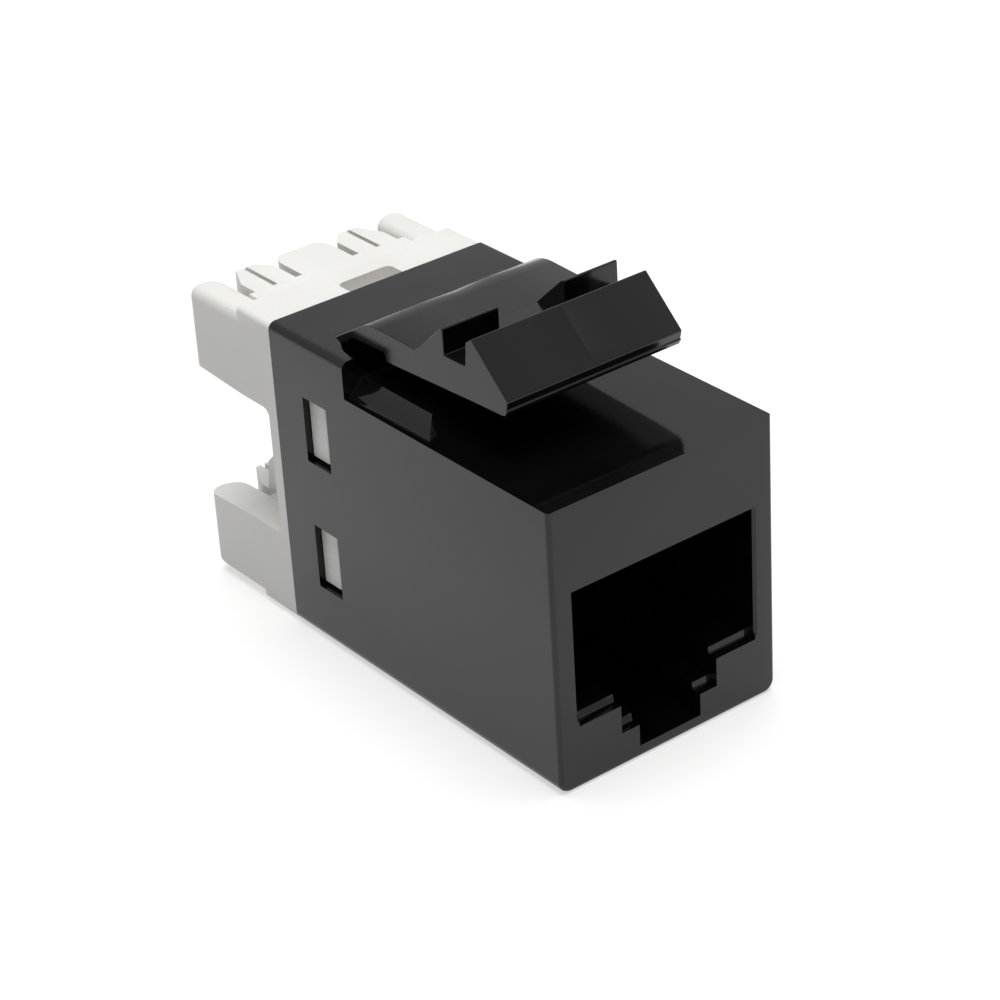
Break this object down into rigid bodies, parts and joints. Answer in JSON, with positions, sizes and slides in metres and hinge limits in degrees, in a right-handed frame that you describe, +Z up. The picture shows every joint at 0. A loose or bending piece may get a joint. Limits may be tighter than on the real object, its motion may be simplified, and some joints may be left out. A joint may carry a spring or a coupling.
{
  "type": "ethernet jack",
  "caption": "Snap-in ethernet jack for a wall plate or patch panel, with a front plug opening, a sprung latch arm on top and a rear block of wire teeth.",
  "frame": {"origin": "below the middle of the jack's box, in the plane of its flat underside", "axes": "+X across the jack, +Y from the plug opening toward the wire block, +Z up toward the latch arm"},
  "size_m": [0.0144, 0.031, 0.0223],
  "materials": {
    "black_plastic": "glossy",
    "arm_plastic": "glossy",
    "white_plastic": "satin",
    "carrier_plastic": "satin",
    "board": "satin",
    "gold_contact": "polished",
    "tinned_contact": "satin"
  },
  "bodies": {
    "jack_body": {"housing": "black_plastic", "termination_block": "white_plastic", "circuit_board": "board", "contact_carrier": "carrier_plastic", "spring_contact_1": "gold_contact", "spring_contact_2": "gold_contact", "spring_contact_3": "gold_contact", "spring_contact_4": "gold_contact", "spring_contact_5": "gold_contact", "spring_contact_6": "gold_contact", "spring_contact_7": "gold_contact", "spring_contact_8": "gold_contact", "idc_contact_1": "tinned_contact", "idc_contact_2": "tinned_contact", "idc_contact_3": "tinned_contact", "idc_contact_4": "tinned_contact", "idc_contact_5": "tinned_contact", "idc_contact_6": "tinned_contact", "idc_contact_7": "tinned_contact", "idc_contact_8": "tinned_contact"},
    "latch": {"latch_arm": "arm_plastic"}
  },
  "joints": [
    {"name": "latch_hinge", "type": "hinge", "parent": "jack_body", "child": "latch", "pos_m": [0, 0.0031, 0.01775], "axis": [1, 0, 0], "range_deg": [0, 10], "stiffness_Nm_per_rad": 0.3}
  ]
}
